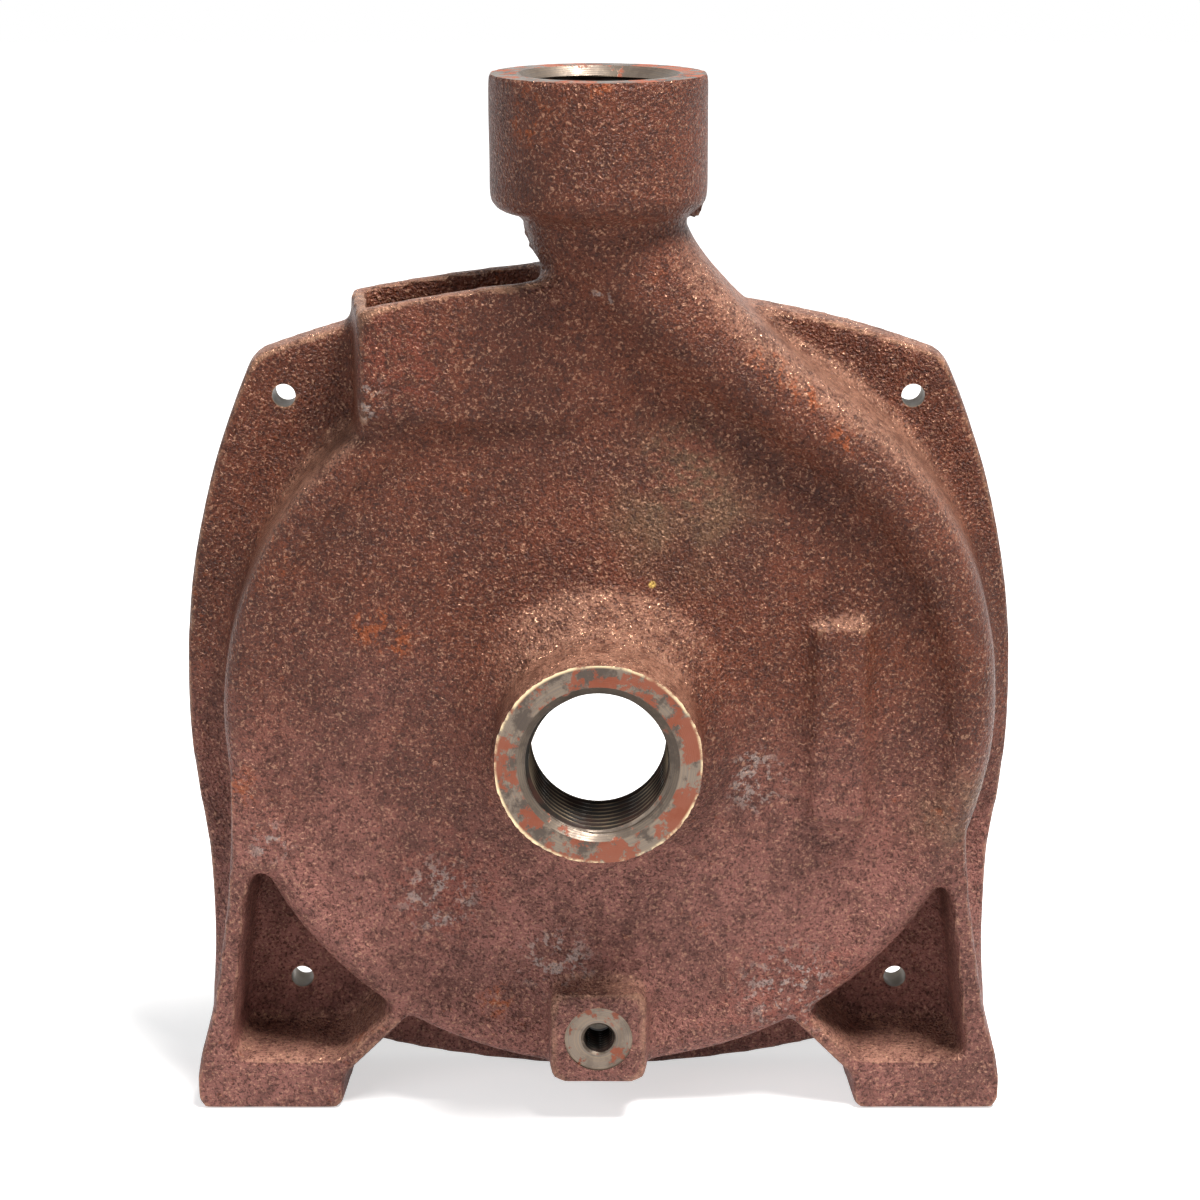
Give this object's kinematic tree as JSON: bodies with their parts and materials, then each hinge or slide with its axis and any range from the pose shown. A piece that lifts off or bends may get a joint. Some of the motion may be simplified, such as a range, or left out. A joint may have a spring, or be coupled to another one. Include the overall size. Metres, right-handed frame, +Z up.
{
  "type": "volute pump casing",
  "caption": "Cast volute casing of a small end-suction pump, with threaded suction and discharge ports, a square mounting flange, feet and a drain boss.",
  "frame": {"origin": "centre of the four bracket bolts, where the shaft axis meets the rear mating face of the flange", "axes": "+Y along the shaft axis towards the motor, +Z up through the discharge port, +X to the right of someone who faces the suction port"},
  "size_m": [0.1946, 0.064, 0.242],
  "materials": {
    "casting": "as cast, dark red-brown and rusty, with bare machined port faces"
  },
  "bodies": {
    "root": {"pump_casing": "casting"}
  },
  "joints": []
}
